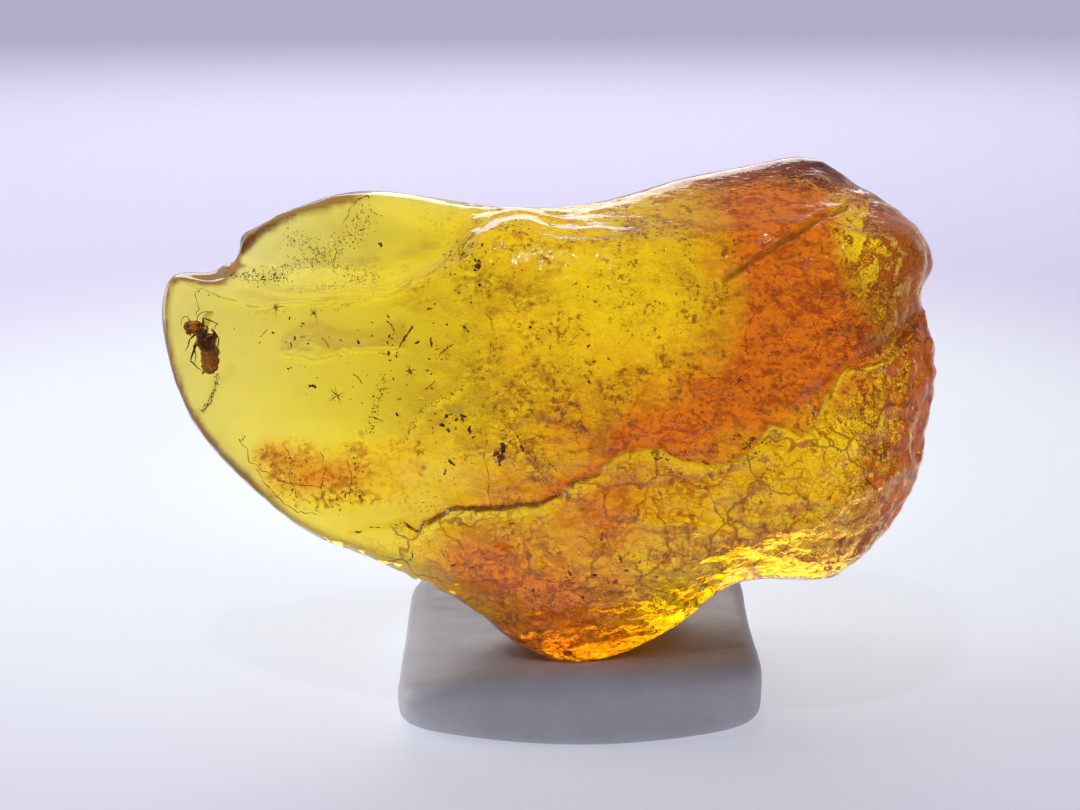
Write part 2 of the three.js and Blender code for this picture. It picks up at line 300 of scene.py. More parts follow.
def find_zones(points, normals):
    """Where each feature is: shares from 0 to 1, and distances in millimetres, at every vertex."""
    x, u, depth = own_frame(points)
    facing = -(normals @ np.array(BACK))
    front = smooth(facing, 0.05, 0.5)
    body = smooth(x, -6.5, -0.5) * (1 - 0.5 * blob(x, u, (-5.0, 12.0, 2.5, 3.0, 1.0)))
    body = np.maximum(body, 0.7 * blob(x, u, (-5.4, 14.6, 2.4, 0.9, 1.0)))
    below = crust_depth(points, x, u)
    crust = smooth(below, -0.04, 0.07) * smooth(x, -9.8, -7.5) * (1 - smooth(-facing, -0.1, 0.3))
    lip = u - line_height(CHIP_LIP, x) + 0.05 * ripple(points, 0.4, seed=6)
    chip_here = front * smooth(x, -10.05, -9.95) * (1 - smooth(x, -5.6, -5.1))
    chip_top = line_height(CHIP_TOP, x) - u
    return SimpleNamespace(
        points=points, x=x, u=u, depth=depth, facing=facing, front=front, rear=smooth(-facing, 0.05, 0.5),
        body=body, below=below, crust=crust, lip=lip, chip_here=chip_here, chip_top=chip_top,
        groove=distance_to_line(GROOVE, x, u + 0.12 * ripple(points, 0.7, seed=4)),
        side_groove=distance_to_line(SIDE_GROOVE, x, u + 0.15 * ripple(points, 0.7, seed=14)),
        above_ridge=u - line_height(RIDGE, x) + 0.05 * ripple(points, 0.5, seed=5),
        scoop_here=front * smooth(x, -14.4, -12.6) * (1 - smooth(x, -3.6, -2.4)),
        chip=chip_here * smooth(lip, -0.02, 0.06) * smooth(chip_top, -0.03, 0.06),
    )


# How far each feature stands out of the surface or is cut into it, in millimetres.
CRUST_STEP = 0.26
CRUST_BUMPS = 0.10
FOLD_HEIGHT = 0.16
GROOVE_CUT = 0.26
GROOVE_BANKS = 0.14
SIDE_GROOVE_CUT = 0.20
SCOOP_CUT = 0.28
CHIP_CUT = 0.13
CHIP_FURROWS = 0.02
FLOW_HEIGHT = 0.09
BROKEN_BUMPS = 0.14
CREST_RIPPLES = 0.055
WRINKLES = 0.10
DENTS = 0.06
RIGHT_END_BUMPS = 0.09
BACK_BUMPS = 0.10
BLADE_WAVES = 0.012
SQUARER_EDGE = 0.17


def crust_lift(z):
    lift = CRUST_STEP * z.crust * z.front * (1 - smooth(z.below, 2.5, 6.0)) * smooth(z.x, -9.0, -3.5)
    lift += CRUST_BUMPS * z.crust * z.front * ripple(z.points, 0.8, 3, seed=13)
    fold = distance_to_line(CRUST_FOLD, z.x, z.u + 0.2 * ripple(z.points, 1.1, seed=3))
    return lift + z.front * FOLD_HEIGHT * bell(fold, 0.35)


def groove_lift(z):
    lift = GROOVE_BANKS * bell(z.groove, 0.5) - GROOVE_CUT * bell(z.groove, 0.11)
    return z.front * (lift - SIDE_GROOVE_CUT * bell(z.side_groove, 0.28))


def blade_lift(z):
    """The scooped fracture over the ridge, the chip, the flow step and the broken corners."""
    above = z.above_ridge
    lift = -SCOOP_CUT * z.scoop_here * smooth(above, -0.03, 0.07) * (1 - smooth(above, 0.5, 1.7))
    furrows = CHIP_FURROWS * np.sin(z.lip * 30 - z.x * 8) * (1 - smooth(z.x, -9.0, -8.0))
    chip_depth = CHIP_CUT * smooth(z.chip_top, -0.5, 0.6) + furrows * z.chip
    lift -= z.chip_here * smooth(z.lip, -0.02, 0.06) * chip_depth
    step_x, step_u = zip(*FLOW_STEP)
    flow = z.x - np.interp(z.u, step_u, step_x)
    flow_here = z.front * smooth(z.u, 7.0, 8.0) * (1 - smooth(z.u, 12.4, 13.4))
    flow_edge = smooth(flow + 0.15 * ripple(z.points, 0.8, seed=15), -0.10, 0.15)
    lift += FLOW_HEIGHT * flow_here * flow_edge * np.exp(-np.abs(flow) / 2)
    for cx, cu, reach, outward in NOTCH_CORNERS:
        lift += blob(z.x, z.u, (cx, cu, reach, reach, outward))
    return lift


def skin_lift(z):
    """The uneven skin of the body, its rippled crest and the blade's squarer edge."""
    broken = z.front * blob(z.x, z.u, (-2.4, 14.9, 1.4, 0.7, 1.0))
    lift = BROKEN_BUMPS * broken * np.abs(ripple(z.points, 0.35, 2, seed=7))
    crest = np.maximum(0, 1 - np.abs(z.facing)) * smooth(z.u, 14.5, 16.0) * z.body
    crest *= 1 - smooth(z.x, 0.0, 4.5)
    lift += CREST_RIPPLES * crest * np.sin(z.depth * 7 + 2.5 * ripple(z.points, 2.5, seed=16))
    flat = z.points * np.array((0.6, 1.0, 1.0))
    uneven = WRINKLES * (0.5 - np.abs(ripple(flat, 0.75, 3, seed=8)))
    uneven -= DENTS * np.maximum(ripple(z.points, 1.4, 2, seed=9), 0)
    rough_end = 1 + 0.3 * smooth(z.x, 7.5, 11.5)
    smooth_crest = smooth(z.u, 15.0, 17.0) * smooth(z.x, 1.0, 5.0) * (1 - smooth(z.facing, 0.6, 0.85))
    uneven *= (0.15 + 0.85 * (z.front + z.rear)) * rough_end * (1 - 0.75 * smooth_crest)
    lift += z.body * uneven
    lift += RIGHT_END_BUMPS * smooth(z.x, 8.0, 11.0) * ripple(z.points, 1.3, 2, seed=20)
    lift += BACK_BUMPS * z.rear * z.body * ripple(z.points, 2.2, 2, seed=10)
    lift += BLADE_WAVES * (1 - z.body) * (1 - z.crust) * ripple(z.points, 1.8, 2, seed=17)
    squarer = bell(np.abs(z.facing) - 0.72, 0.20) * (1 - smooth(z.x, -8.0, -4.0))
    return lift + SQUARER_EDGE * squarer


def store_body_tints(mesh, z):
    """Where the resin is orange, clear, golden, patchy or cracked, with painted shade in a band just above
    the crust's edge and painted brightness in spots where light gathers.
    """
    light_edge = bell(z.below - 0.22, 0.22) * z.crust * z.front
    # Painted shade: a dark orange band just above the crust's edge, where the crust laps over the body.
    shade = np.exp(-np.maximum(-z.below, 0) / 0.55) * (1 - z.crust) * z.front * smooth(z.x, -7.0, -3.0)
    # Partly painted light: several clear patches sit where light gathers into bright spots.
    bright = blobs(z.x, z.u, BRIGHT_SPOTS)
    warm = blobs(z.x, z.u, WARM_SPOTS) - bright + 0.20 * ripple(z.points, 1.6, 3, seed=11)
    pool = blobs(z.x, z.u, POOL_SPOTS) + 0.35 * ripple(z.points, 0.6, 3, seed=29)
    pool = smooth(pool, 0.30, 0.60) * z.front
    under_ridge = bell(z.above_ridge + 0.22, 0.16) * z.front
    under_ridge *= smooth(z.x, -13.0, -11.5) * (1 - smooth(z.x, -4.5, -3.0))
    under_lip = bell(z.lip + 0.14, 0.09) * z.chip_here
    golden = np.maximum(pool, np.maximum(under_ridge, under_lip))
    store(
        mesh,
        # warm: the orange zones, plus the painted shade band just above the crust's edge.
        warm=warm + 0.55 * shade - 0.75 * light_edge,
        front=0.25 + 0.75 * smooth(z.facing, -0.3, 0.1),
        crust=z.crust,
        # clear: the blade's clear resin, the lighter crust edge and the clear patches, some of them painted
        # light.
        clear=np.minimum(bright + 0.9 * light_edge + (1 - z.body) * (1 - pool), 0.9),
        body=np.maximum(z.body, 0.9 * golden),
        relief=z.body * smooth(np.abs(z.facing), 0.25, 0.75),
        patch=0.5 + 0.5 * ripple(z.points, 1.1, 3, seed=18),
        cracked=smooth(ripple(z.points, 1.5, 2, seed=19), -0.55, -0.15) * z.crust,
    )


def store_line_tints(mesh, z):
    """The dark lines, painted shade where the blade's edge turns away, and the greyish places, which are
    partly painted reflection.
    """
    crust_line = 0.7 * bell(z.below, 0.09) * smooth(z.x, -6.5, -1.0)
    ridge_line = 0.9 * bell(z.above_ridge - 0.02, 0.06) * z.scoop_here
    ridge_line *= smooth(ripple(z.points, 0.5, seed=27), -0.3, 0.1)
    lip_line = 0.8 * bell(z.lip - 0.01, 0.05) * z.chip_here
    wide = 0.05 * smooth(z.u, 15.4, 16.6) + 0.03 * ripple(z.points, 0.6, seed=24)
    # Painted shade: brown laid where the blade's surface turns away from view at its edges.
    rim = (1 - smooth(np.abs(z.facing) - wide, 0.78, 0.90)) * (1 - smooth(z.x, -7.6, -6.2))
    rim *= 1 - smooth(outline_distance(z.x, z.u), 0.45, 0.65)
    rim *= 1 - 0.75 * smooth(z.x, -11.5, -8.5) * (1 - smooth(z.u, 8.0, 11.0))
    # Partly painted reflection: grey laid on the scooped fracture above the ridge, besides its clouding.
    veil_and_reflection = blobs(z.x, z.u, VEIL_AND_REFLECTION_SPOTS) * smooth(ripple(z.points, 0.9, 3, seed=25), -0.35, 0.45)
    wisp = bell(distance_to_line(WISP, z.x, z.u + 0.12 * ripple(z.points, 0.7, seed=26)), 0.13)
    cloudy_chip = 0.6 * z.chip * (1 + 0.5 * ripple(z.points, 0.7, 2, seed=28))
    store(
        mesh,
        edge=z.front * np.maximum(crust_line, np.maximum(ridge_line, lip_line)),
        groove=z.front * np.maximum(bell(z.groove, 0.10), 0.5 * bell(z.side_groove, 0.12)),
        # Painted shade at the blade's turning edges.
        rim=np.minimum(rim, 0.95),
        # dull: the clouded chip and wisp, and the grey above the ridge, which is partly painted reflection.
        dull=cloudy_chip + z.front * np.maximum(veil_and_reflection, 0.8 * wisp),
    )


def carve_nugget(mesh):
    sharpen_near(mesh, crease_zones(mesh))
    points, normals = mesh_arrays(mesh)
    zones = find_zones(points, normals)
    lift = crust_lift(zones) + groove_lift(zones) + blade_lift(zones) + skin_lift(zones)
    move_out(mesh, points, normals, lift)
    for polygon in mesh.polygons:
        polygon.use_smooth = True
    store_body_tints(mesh, zones)
    store_line_tints(mesh, zones)


# ---- Materials ----


class Nodes:
    """Short calls for building one material's node tree."""

    def __init__(self, name):
        self.material = bpy.data.materials.new(name)
        self.material.use_nodes = True
        self.tree = self.material.node_tree
        self.shader = self.tree.nodes["Principled BSDF"]
        self.output = self.tree.nodes["Material Output"]
        coordinates = self.new("ShaderNodeTexCoord")
        scale = (1 / MM, 1 / MM, 1 / MM)
        to_mm = self.new("ShaderNodeMapping", Scale=scale, Vector=coordinates.outputs["Object"])
        self.where = to_mm.outputs["Vector"]

    def new(self, kind, **inputs):
        node = self.tree.nodes.new(kind)
        self.fill(node, inputs)
        return node

    def link(self, source, target):
        self.tree.links.new(source, target)

    def put(self, value, socket):
        if isinstance(value, bpy.types.NodeSocket):
            self.link(value, socket)
        elif socket.type == "RGBA":
            socket.default_value = (*value, 1)
        else:
            socket.default_value = value

    def fill(self, node, inputs):
        """Sets or links a node's inputs, named with _ for each space."""
        for name, value in inputs.items():
            self.put(value, node.inputs[name.replace("_", " ")])

    def surface(self, **inputs):
        self.fill(self.shader, inputs)

    def attribute(self, name):
        node = self.new("ShaderNodeAttribute")
        node.attribute_name = name
        return node.outputs["Fac"]

    def math(self, operation, a, b):
        node = self.new("ShaderNodeMath")
        node.operation = operation
        self.put(a, node.inputs[0])
        self.put(b, node.inputs[1])
        return node.outputs[0]

    def add(self, a, b):
        return self.math("ADD", a, b)

    def times(self, a, b):
        return self.math("MULTIPLY", a, b)

    def mix(self, share, a, b):
        node = self.new("ShaderNodeMix")
        node.data_type = "RGBA"
        self.put(share, node.inputs["Factor"])
        self.put(a, node.inputs["A"])
        self.put(b, node.inputs["B"])
        return node.outputs["Result"]

    def stain(self, tint, share, strength, colour):
        """The tint with a colour laid over it, by that strength times the share."""
        return self.mix(self.times(share, strength), tint, colour)

    def stretched(self, scale, turn=(0, 0, 0)):
        node = self.new("ShaderNodeMapping", Scale=scale, Rotation=turn, Vector=self.where)
        return node.outputs["Vector"]

    def noise(self, size, detail=2.0, where=None, roughness=0.5, warp=0.0):
        node = self.new("ShaderNodeTexNoise", Scale=1 / size, Detail=detail, Roughness=roughness,
                        Distortion=warp, Vector=where or self.where)
        return node.outputs["Fac"]

    def cell_edges(self, size, where):
        """Distance to the nearest edge between irregular cells."""
        node = self.new("ShaderNodeTexVoronoi", Scale=1 / size, Vector=where)
        node.feature = "DISTANCE_TO_EDGE"
        return node.outputs["Distance"]

    def warped(self, size, amount):
        """The coordinates pushed about by noise, so that a pattern drawn on them isn't regular."""
        wobble = self.new("ShaderNodeTexNoise", Scale=1 / size, Vector=self.where)
        push = self.new("ShaderNodeVectorMath")
        push.operation = "MULTIPLY_ADD"
        self.put(wobble.outputs["Color"], push.inputs[0])
        self.put((amount, amount, amount), push.inputs[1])
        self.put(self.where, push.inputs[2])
        return push.outputs["Vector"]

    def band(self, value, low, high):
        """0 below low, 1 above high, smooth between. low may be above high."""
        flip = low > high
        node = self.new("ShaderNodeMapRange", Value=value, From_Min=min(low, high), From_Max=max(low, high),
                        To_Min=float(flip), To_Max=float(not flip))
        node.interpolation_type = "SMOOTHSTEP"
        return node.outputs["Result"]

    def bump(self, height, distance_mm, strength=1.0, **under):
        node = self.new("ShaderNodeBump", Distance=distance_mm * MM, Strength=strength, Height=height,
                        **under)
        return node.outputs["Normal"]


# What the amber does to light along its path: an uptake per metre, and the colour that it lets through, with
# next to no red, a little green and all of the blue taken up.
AMBER_UPTAKE = 660.0
AMBER_PASSES = (0.985, 0.920, 0.0)
AMBER_IOR = 1.54

# Tints of the amber's surface.
BLADE_TINT = (0.90, 0.83, 0.80)
CLEAR_TINT = (1.0, 0.99, 0.55)
LIGHT_GOLD = (1.0, 0.95, 0.40)
MID_GOLD = (0.98, 0.60, 0.07)
DARK_GOLD = (0.50, 0.20, 0.010)
LIGHT_ORANGE = (0.86, 0.14, 0.008)
DARK_ORANGE = (0.30, 0.02, 0.003)
CRACK_BROWN = (0.14, 0.025, 0.004)
CRAZING_BROWN = (0.48, 0.12, 0.01)
EDGE_BROWN = (0.26, 0.07, 0.01)
GROOVE_BROWN = (0.06, 0.02, 0.01)
DULL_GREY = (0.66, 0.58, 0.42)
# Painted shade for the blade's turning edges:
RIM_SHADE_BROWN = (0.13, 0.018, 0.002)
SPECK_BROWN = (0.08, 0.03, 0.005)


def amber_material():
    m = Nodes("amber")
    front = m.attribute("front")
    body = m.attribute("body")
    patch = m.attribute("patch")
    grain = m.noise(0.20, 2.0)
    wavy = m.warped(0.8, 1.0)

    flakes = m.noise(0.50, 4.0, m.stretched((0.7, 1.0, 1.3), (0, 0.5, 0)), 0.72, 0.8)
    mottle = m.add(m.times(flakes, 0.9), m.times(grain, 0.35))
    darker = m.mix(m.band(patch, 0.35, 0.65), MID_GOLD, DARK_GOLD)
    golden = m.mix(m.band(mottle, 0.56, 0.70), LIGHT_GOLD, darker)
    # Painted light in part: some clear patches brighten spots where light gathers.
    golden = m.mix(m.attribute("clear"), golden, CLEAR_TINT)
    tint = m.mix(m.times(body, m.band(front, -0.2, 0.6)), BLADE_TINT, golden)
    orange = m.mix(m.band(mottle, 0.54, 0.72), LIGHT_ORANGE, DARK_ORANGE)
    # The warm share also holds the painted shade band just above the crust's edge.
    tint = m.mix(m.times(m.attribute("warm"), front), tint, orange)

    cracks = m.times(m.band(m.cell_edges(2.2, wavy), 0.036, 0.008), m.attribute("cracked"))
    tint = m.stain(tint, cracks, 0.92, CRACK_BROWN)
    crazed = m.add(m.times(m.attribute("crust"), 0.6), m.times(body, 0.4))
    crazed = m.times(crazed, m.band(patch, 0.25, 0.60))
    crazed = m.times(crazed, m.band(m.cell_edges(0.42, wavy), 0.12, 0.02))
    tint = m.stain(tint, crazed, 0.85, CRAZING_BROWN)
    tint = m.stain(tint, m.attribute("edge"), 0.7, EDGE_BROWN)
    tint = m.stain(tint, m.attribute("groove"), 0.9, GROOVE_BROWN)
    # The dull share is partly painted reflection: the grey above the ridge.
    tint = m.stain(tint, m.attribute("dull"), 0.8, DULL_GREY)
    # Painted shade at the blade's turning edges.
    tint = m.mix(m.attribute("rim"), tint, RIM_SHADE_BROWN)
    specks = m.times(m.band(grain, 0.55, 0.64), m.band(patch, 0.54, 0.64))
    tint = m.stain(tint, m.times(specks, m.times(body, front)), 0.85, SPECK_BROWN)

    skin = m.noise(0.24, 2.0, m.stretched((0.7, 1, 1)), warp=0.5)
    m.surface(Base_Color=tint, Transmission_Weight=1.0, IOR=AMBER_IOR,
              Roughness=m.add(0.015, m.times(body, 0.03)),
              Normal=m.bump(skin, 0.045, m.attribute("relief")))
    inside = m.new("ShaderNodeVolumeAbsorption", Color=AMBER_PASSES, Density=AMBER_UPTAKE)
    m.link(inside.outputs["Volume"], m.output.inputs["Volume"])
    return m.material


def block_material():
    m = Nodes("stand_white")
    cloud = m.noise(3.0, 3.0)
    colour = m.mix(m.band(cloud, 0.3, 0.7), (0.44, 0.43, 0.46), (0.51, 0.50, 0.53))
    dust = m.band(m.noise(0.16, 1.0), 0.735, 0.76)
    rare = m.band(m.noise(2.2, 1.0), 0.55, 0.65)
    colour = m.stain(colour, m.times(dust, rare), 0.7, (0.16, 0.13, 0.14))
    soft = m.bump(m.noise(1.1, 3.0), 0.06)
    m.surface(Base_Color=colour, Roughness=m.add(0.42, m.times(m.noise(0.5, 2.0), 0.16)),
              Normal=m.bump(m.noise(0.10, 2.0), 0.008, 0.6, Normal=soft))
    return m.material


def solid_material(name, light, dark, rough, patch_size, clear=0.0):
    """Matter with soft patches of two tones and a pitted skin. clear is the share of light let through."""
    m = Nodes(name)
    colour = m.mix(m.band(m.noise(patch_size * 3, 3.0), 0.35, 0.65), dark, light)
    m.surface(Base_Color=colour, Roughness=rough, Transmission_Weight=clear, IOR=1.25 if clear else 1.5,
              Normal=m.bump(m.noise(patch_size, 2.0), 0.012))
    return m.material


def film_material(name, colour, rough):
    """A clouded film in the amber, such as a wing: it bends light only a little more than the amber does."""
    m = Nodes(name)
    colour = m.mix(m.band(m.noise(0.25, 3.0), 0.3, 0.7), colour, (0.94, 0.90, 0.66))
    m.surface(Base_Color=colour, Transmission_Weight=0.95, Roughness=rough, IOR=1.06,
              Normal=m.bump(m.noise(0.30, 2.0), 0.03))
    return m.material


def spangle_material():
    m = Nodes("spangle_gold")
    colour = m.mix(m.noise(0.1, 2.0), (1.0, 0.88, 0.10), (1.0, 0.66, 0.04))
    m.surface(Base_Color=colour, Metallic=1.0, Roughness=0.22)
    return m.material


def gas_material():
    """Gas in a bubble in the amber: its refraction relative to amber is less than one."""
    m = Nodes("bubble_gas")
    colour = m.mix(m.noise(0.1, 2.0), (1.0, 0.95, 0.7), (1.0, 0.85, 0.45))
    m.surface(Base_Color=colour, Transmission_Weight=1.0, Roughness=0.02, IOR=0.68)
    return m.material


# ---- The nugget and the block ----

# Waves and grain of the block's skin, in millimetres. They die out at its flat underside.
BLOCK_WAVES = 0.035
BLOCK_GRAIN = 0.01


def make_block():
    mesh = refined("stand_block_fine", "stand_block", 2)
    points, normals = mesh_arrays(mesh)
    off_ground = smooth(points[:, 2] / MM, 0.05, 0.6)
    waves = BLOCK_WAVES * ripple(points, 2.6, 2, seed=21)
    grain = BLOCK_GRAIN * ripple(points, 0.7, seed=22)
    move_out(mesh, points, normals, off_ground * (waves + grain))
    piece = add_piece("stand_block_fine", mesh, block_material())
    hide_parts("stand_block")


def make_nugget():
    mesh = refined("amber_nugget", "amber", 2)
    carve_nugget(mesh)
    piece = add_piece("amber_nugget", mesh, amber_material())
    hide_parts("amber")


# ---- Places inside the nugget ----

SURFACE = BVHTree.FromPolygons(
    [vertex.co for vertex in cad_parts["amber"].data.vertices],
    [tuple(polygon.vertices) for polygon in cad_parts["amber"].data.polygons],
)
SKIN = 0.4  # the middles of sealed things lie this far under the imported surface, in millimetres
THIN_SHARE = 0.42  # or, where the nugget is thin, under this share of its thickness


def surface_depths(x, u):
    """Depths of the front and the back surface at one place of the nugget, or None beside it."""
    front = SURFACE.ray_cast(place(x, u, -30), BACK)[0]
    back = SURFACE.ray_cast(place(x, u, 30), -BACK)[0]
    if front is None or back is None:
        return None
    return (front.dot(BACK) - MIDDLE) / MM, (back.dot(BACK) - MIDDLE) / MM


def inside(x, u, share=0.5):
    """World place at a share of the way from under the front surface to under the back one, or None."""
    found = surface_depths(x, u)
    if found is None:
        return None
    front, back = found
    skin = min(SKIN, (back - front) * THIN_SHARE)
    return place(x, u, front + skin + (back - front - 2 * skin) * share)


# ---- Small closed shapes that the sealed pieces are made of ----


class Shape:
    """Vertices and faces gathered from many small closed bodies, in world metres."""

    def __init__(self):
        self.points = []
        self.faces = []

    def add(self, points, faces):
        start = len(self.points)
        self.points.extend(points)
        self.faces.extend(tuple(start + corner for corner in face) for face in faces)

    def finish(self, name, material):
        mesh = bpy.data.meshes.new(name)
        mesh.from_pydata(self.points, [], self.faces)
        for polygon in mesh.polygons:
            polygon.use_smooth = True
        add_piece(name, mesh, material)


def curve_point(path, t):
    """Point at share t of a smooth curve through the path's points."""
    spot = min(max(t, 0.0), 1.0) * (len(path) - 1)
    index = min(int(spot), len(path) - 2)
    s = spot - index
    b, c = path[index], path[index + 1]
    a = path[index - 1] if index > 0 else b * 2 - c
    d = path[index + 2] if index + 2 < len(path) else c * 2 - b
    bend = (a * 2 - b * 5 + c * 4 - d) * s * s
    twist = (b * 3 - a - c * 3 + d) * s ** 3
    return 0.5 * (b * 2 + (c - a) * s + bend + twist)


def capped_rows(sides, rows):
    """Faces of a closed body that has a first point, rows of points round it and a last point."""
    last = rows * sides + 1
    faces = []
    for j in range(sides):
        following = (j + 1) % sides
        faces.append((0, 1 + following, 1 + j))
        faces.append((last, last - sides + j, last - sides + following))
        for k in range(rows - 1):
            row = 1 + k * sides
            faces.append((row + j, row + following, row + sides + following, row + sides + j))
    return faces


def tube(shape, path, radius_at, sides=8, stations=16, flatten=1.0):
    """A closed body along a smooth path. radius_at gives its radius in millimetres at each share."""
    points = [curve_point(path, 0.0)]
    for k in range(1, stations):
        t = k / stations
        middle = curve_point(path, t)
        ahead = (curve_point(path, t + 0.02) - curve_point(path, t - 0.02)).normalized()
        side = ahead.cross(BACK)
        side = side.normalized() if side.length > 0.05 else ahead.cross(UP).normalized()
        other = side.cross(ahead) * flatten
        radius = max(radius_at(t), 0.002) * MM
        for j in range(sides):
            angle = 2 * math.pi * j / sides
            points.append(middle + (side * math.cos(angle) + other * math.sin(angle)) * radius)
    points.append(curve_point(path, 1.0))
    shape.add(points, capped_rows(sides, stations - 1))


def taper(thick, thin=0.25):
    """A radius that swells from the start and thins towards the tip."""
    return lambda t: thick * (thin + (1 - thin) * math.sin(math.pi * min(t * 0.8 + 0.2, 1.0)) ** 0.7)


def ball(shape, centre, radii, turn=0.0, rings=12, shaping=None):
    """A rounded body with its own three radii in millimetres, turned in the nugget's face plane."""
    sides = rings * 2
    wide = ACROSS * math.cos(turn) + UP * math.sin(turn)
    tall = UP * math.cos(turn) - ACROSS * math.sin(turn)

    def at(latitude, longitude):
        reach = shaping(latitude, longitude) if shaping else 1.0
        flat = math.cos(latitude) * reach
        return (centre + tall * (math.sin(latitude) * reach * radii[1] * MM)
                + wide * (flat * math.cos(longitude) * radii[0] * MM)
                - BACK * (flat * math.sin(longitude) * radii[2] * MM))

    points = [at(-math.pi / 2, 0)]
    for k in range(1, rings):
        points.extend(at(-math.pi / 2 + math.pi * k / rings, 2 * math.pi * j / sides) for j in range(sides))
    points.append(at(math.pi / 2, 0))
    shape.add(points, capped_rows(sides, rings - 1))


def lumpy(seed, amount):
    """Shaping for ball() that makes it an irregular lump."""
    shift = Vector((seed * 3.1, seed * 1.7, seed * 2.3))

    def reach(latitude, longitude):
        where = Vector((math.cos(latitude) * math.cos(longitude), math.cos(latitude) * math.sin(longitude),
                        math.sin(latitude)))
        return 1 + amount * noise.noise(where * 1.7 + shift)

    return reach


def path_inside(points, share=0.5):
    """World path through (x, u) or (x, u, share) points, sealed in the nugget."""
    places = []
    for point in points:
        spot = inside(point[0], point[1], point[2] if len(point) > 2 else share)
        if spot is not None:
            places.append(spot)
    return places


# ---- The insect ----

# Its parts in the nugget's own frame: it lies head up and to the left in the thin blade.
INSECT_SHARE = 0.42
HEAD = (-13.45, 13.03)
THORAX = (-12.95, 12.50)
ABDOMEN_PATH = [(-12.97, 12.22), (-12.82, 11.95), (-12.80, 11.62), (-12.90, 11.38), (-12.98, 11.24)]


def insect_spot(x, u, nearer=0.0):
    """World place at the insect's depth, moved nearer to the viewer by that many millimetres."""
    middle = inside(-13.0, 12.4, INSECT_SHARE)
    depth = (middle.dot(BACK) - MIDDLE) / MM
    return place(x, u, depth - nearer)


def make_head(skin):
    shape = Shape()
    ball(shape, insect_spot(*HEAD), (0.38, 0.28, 0.30), turn=0.05, rings=20, shaping=lumpy(4, 0.10))
    ball(shape, insect_spot(-13.62, 12.84, 0.05), (0.13, 0.10, 0.16), 0.5, rings=10, shaping=lumpy(6, 0.2))
    for x, u, tip_x, tip_u in ((-13.70, 12.86, -13.62, 12.72), (-13.58, 12.80, -13.52, 12.68)):
        bend = insect_spot((x + tip_x) / 2 - 0.03, (u + tip_u) / 2, 0.14)
        jaw = [insect_spot(x, u, 0.1), bend, insect_spot(tip_x, tip_u, 0.12)]
        tube(shape, jaw, taper(0.035), sides=8, stations=8)
    ball(shape, insect_spot(-13.18, 12.83, 0.02), (0.16, 0.12, 0.15), turn=-0.7, rings=10)
    shape.finish("insect_head", skin)


def make_eyes(dark):
    shape = Shape()
    for x, u, nearer in ((-13.66, 13.06, 0.17), (-13.24, 13.08, 0.22)):
        ball(shape, insect_spot(x, u, nearer), (0.065, 0.085, 0.06), turn=0.3, rings=12,
             shaping=lambda a, b: 1 + 0.03 * math.sin(a * 14) * math.sin(b * 12))
    for x, u, nearer in ((-13.45, 13.20, 0.20), (-13.38, 13.16, 0.24), (-13.52, 13.16, 0.24)):
        ball(shape, insect_spot(x, u, nearer), (0.018, 0.018, 0.018), rings=8)
    shape.finish("insect_eyes", dark)


def make_thorax(skin):
    shape = Shape()
    plates = [
        ((-13.12, 12.74, 0.03), (0.27, 0.20, 0.27), 0.8, 16, lumpy(1, 0.16)),
        (THORAX, (0.45, 0.30, 0.34), 0.35, 20, lumpy(2, 0.16)),
        ((-12.90, 12.27), (0.35, 0.19, 0.30), 0.1, 16, lumpy(3, 0.14)),
        ((-12.80, 12.56, 0.20), (0.17, 0.10, 0.10), 0.5, 12, lumpy(5, 0.2)),
        ((-13.10, 12.40, 0.22), (0.13, 0.12, 0.08), 0.2, 12, lumpy(7, 0.2)),
    ]
    for spot, radii, turn, rings, shaping in plates:
        ball(shape, insect_spot(*spot), radii, turn, rings, shaping)
    shape.finish("insect_thorax", skin)


def make_abdomen(skin):
    shape = Shape()
    rings = 6

    def radius(t):
        body = 0.39 * math.sin(math.pi * min(0.16 + t * 0.86, 1.0)) ** 0.55
        groove = abs(math.sin(math.pi * t * rings)) ** 0.5
        return body * (0.86 + 0.14 * groove)

    path = [insect_spot(x, u) for x, u in ABDOMEN_PATH]
    tube(shape, path, radius, sides=28, stations=72, flatten=0.85)
    for x, tip_x in ((-13.03, -13.10), (-12.86, -12.82)):
        tip = [insect_spot(x, 11.36), insect_spot((x + tip_x) / 2, 11.28), insect_spot(tip_x, 11.20)]
        tube(shape, tip, taper(0.045), sides=8, stations=8)
    shape.finish("insect_abdomen", skin)


# Each leg: thigh, shin and foot, as (x, u, nearer) joints.
LEGS = [
    [(-13.05, 12.95, 0.10), (-13.07, 13.37, 0.16), (-12.50, 13.14, 0.20), (-12.61, 12.99, 0.22)],
    [(-12.74, 12.96, 0.00), (-12.44, 12.58, 0.12), (-12.48, 12.22, 0.15), (-12.40, 12.02, 0.12)],
    [(-13.32, 12.42, 0.05), (-13.56, 11.74, 0.20), (-13.24, 11.43, 0.22), (-13.12, 11.36, 0.20)],
    [(-13.20, 12.60, -0.15), (-13.46, 12.28, -0.28), (-13.36, 11.92, -0.30), (-13.40, 11.70, -0.30)],
    [(-12.66, 12.40, -0.12), (-12.44, 12.05, -0.28), (-12.56, 11.70, -0.30), (-12.50, 11.52, -0.28)],
    [(-13.25, 12.85, -0.12), (-13.60, 12.55, -0.22), (-13.66, 12.28, -0.24), (-13.74, 12.14, -0.22)],
]


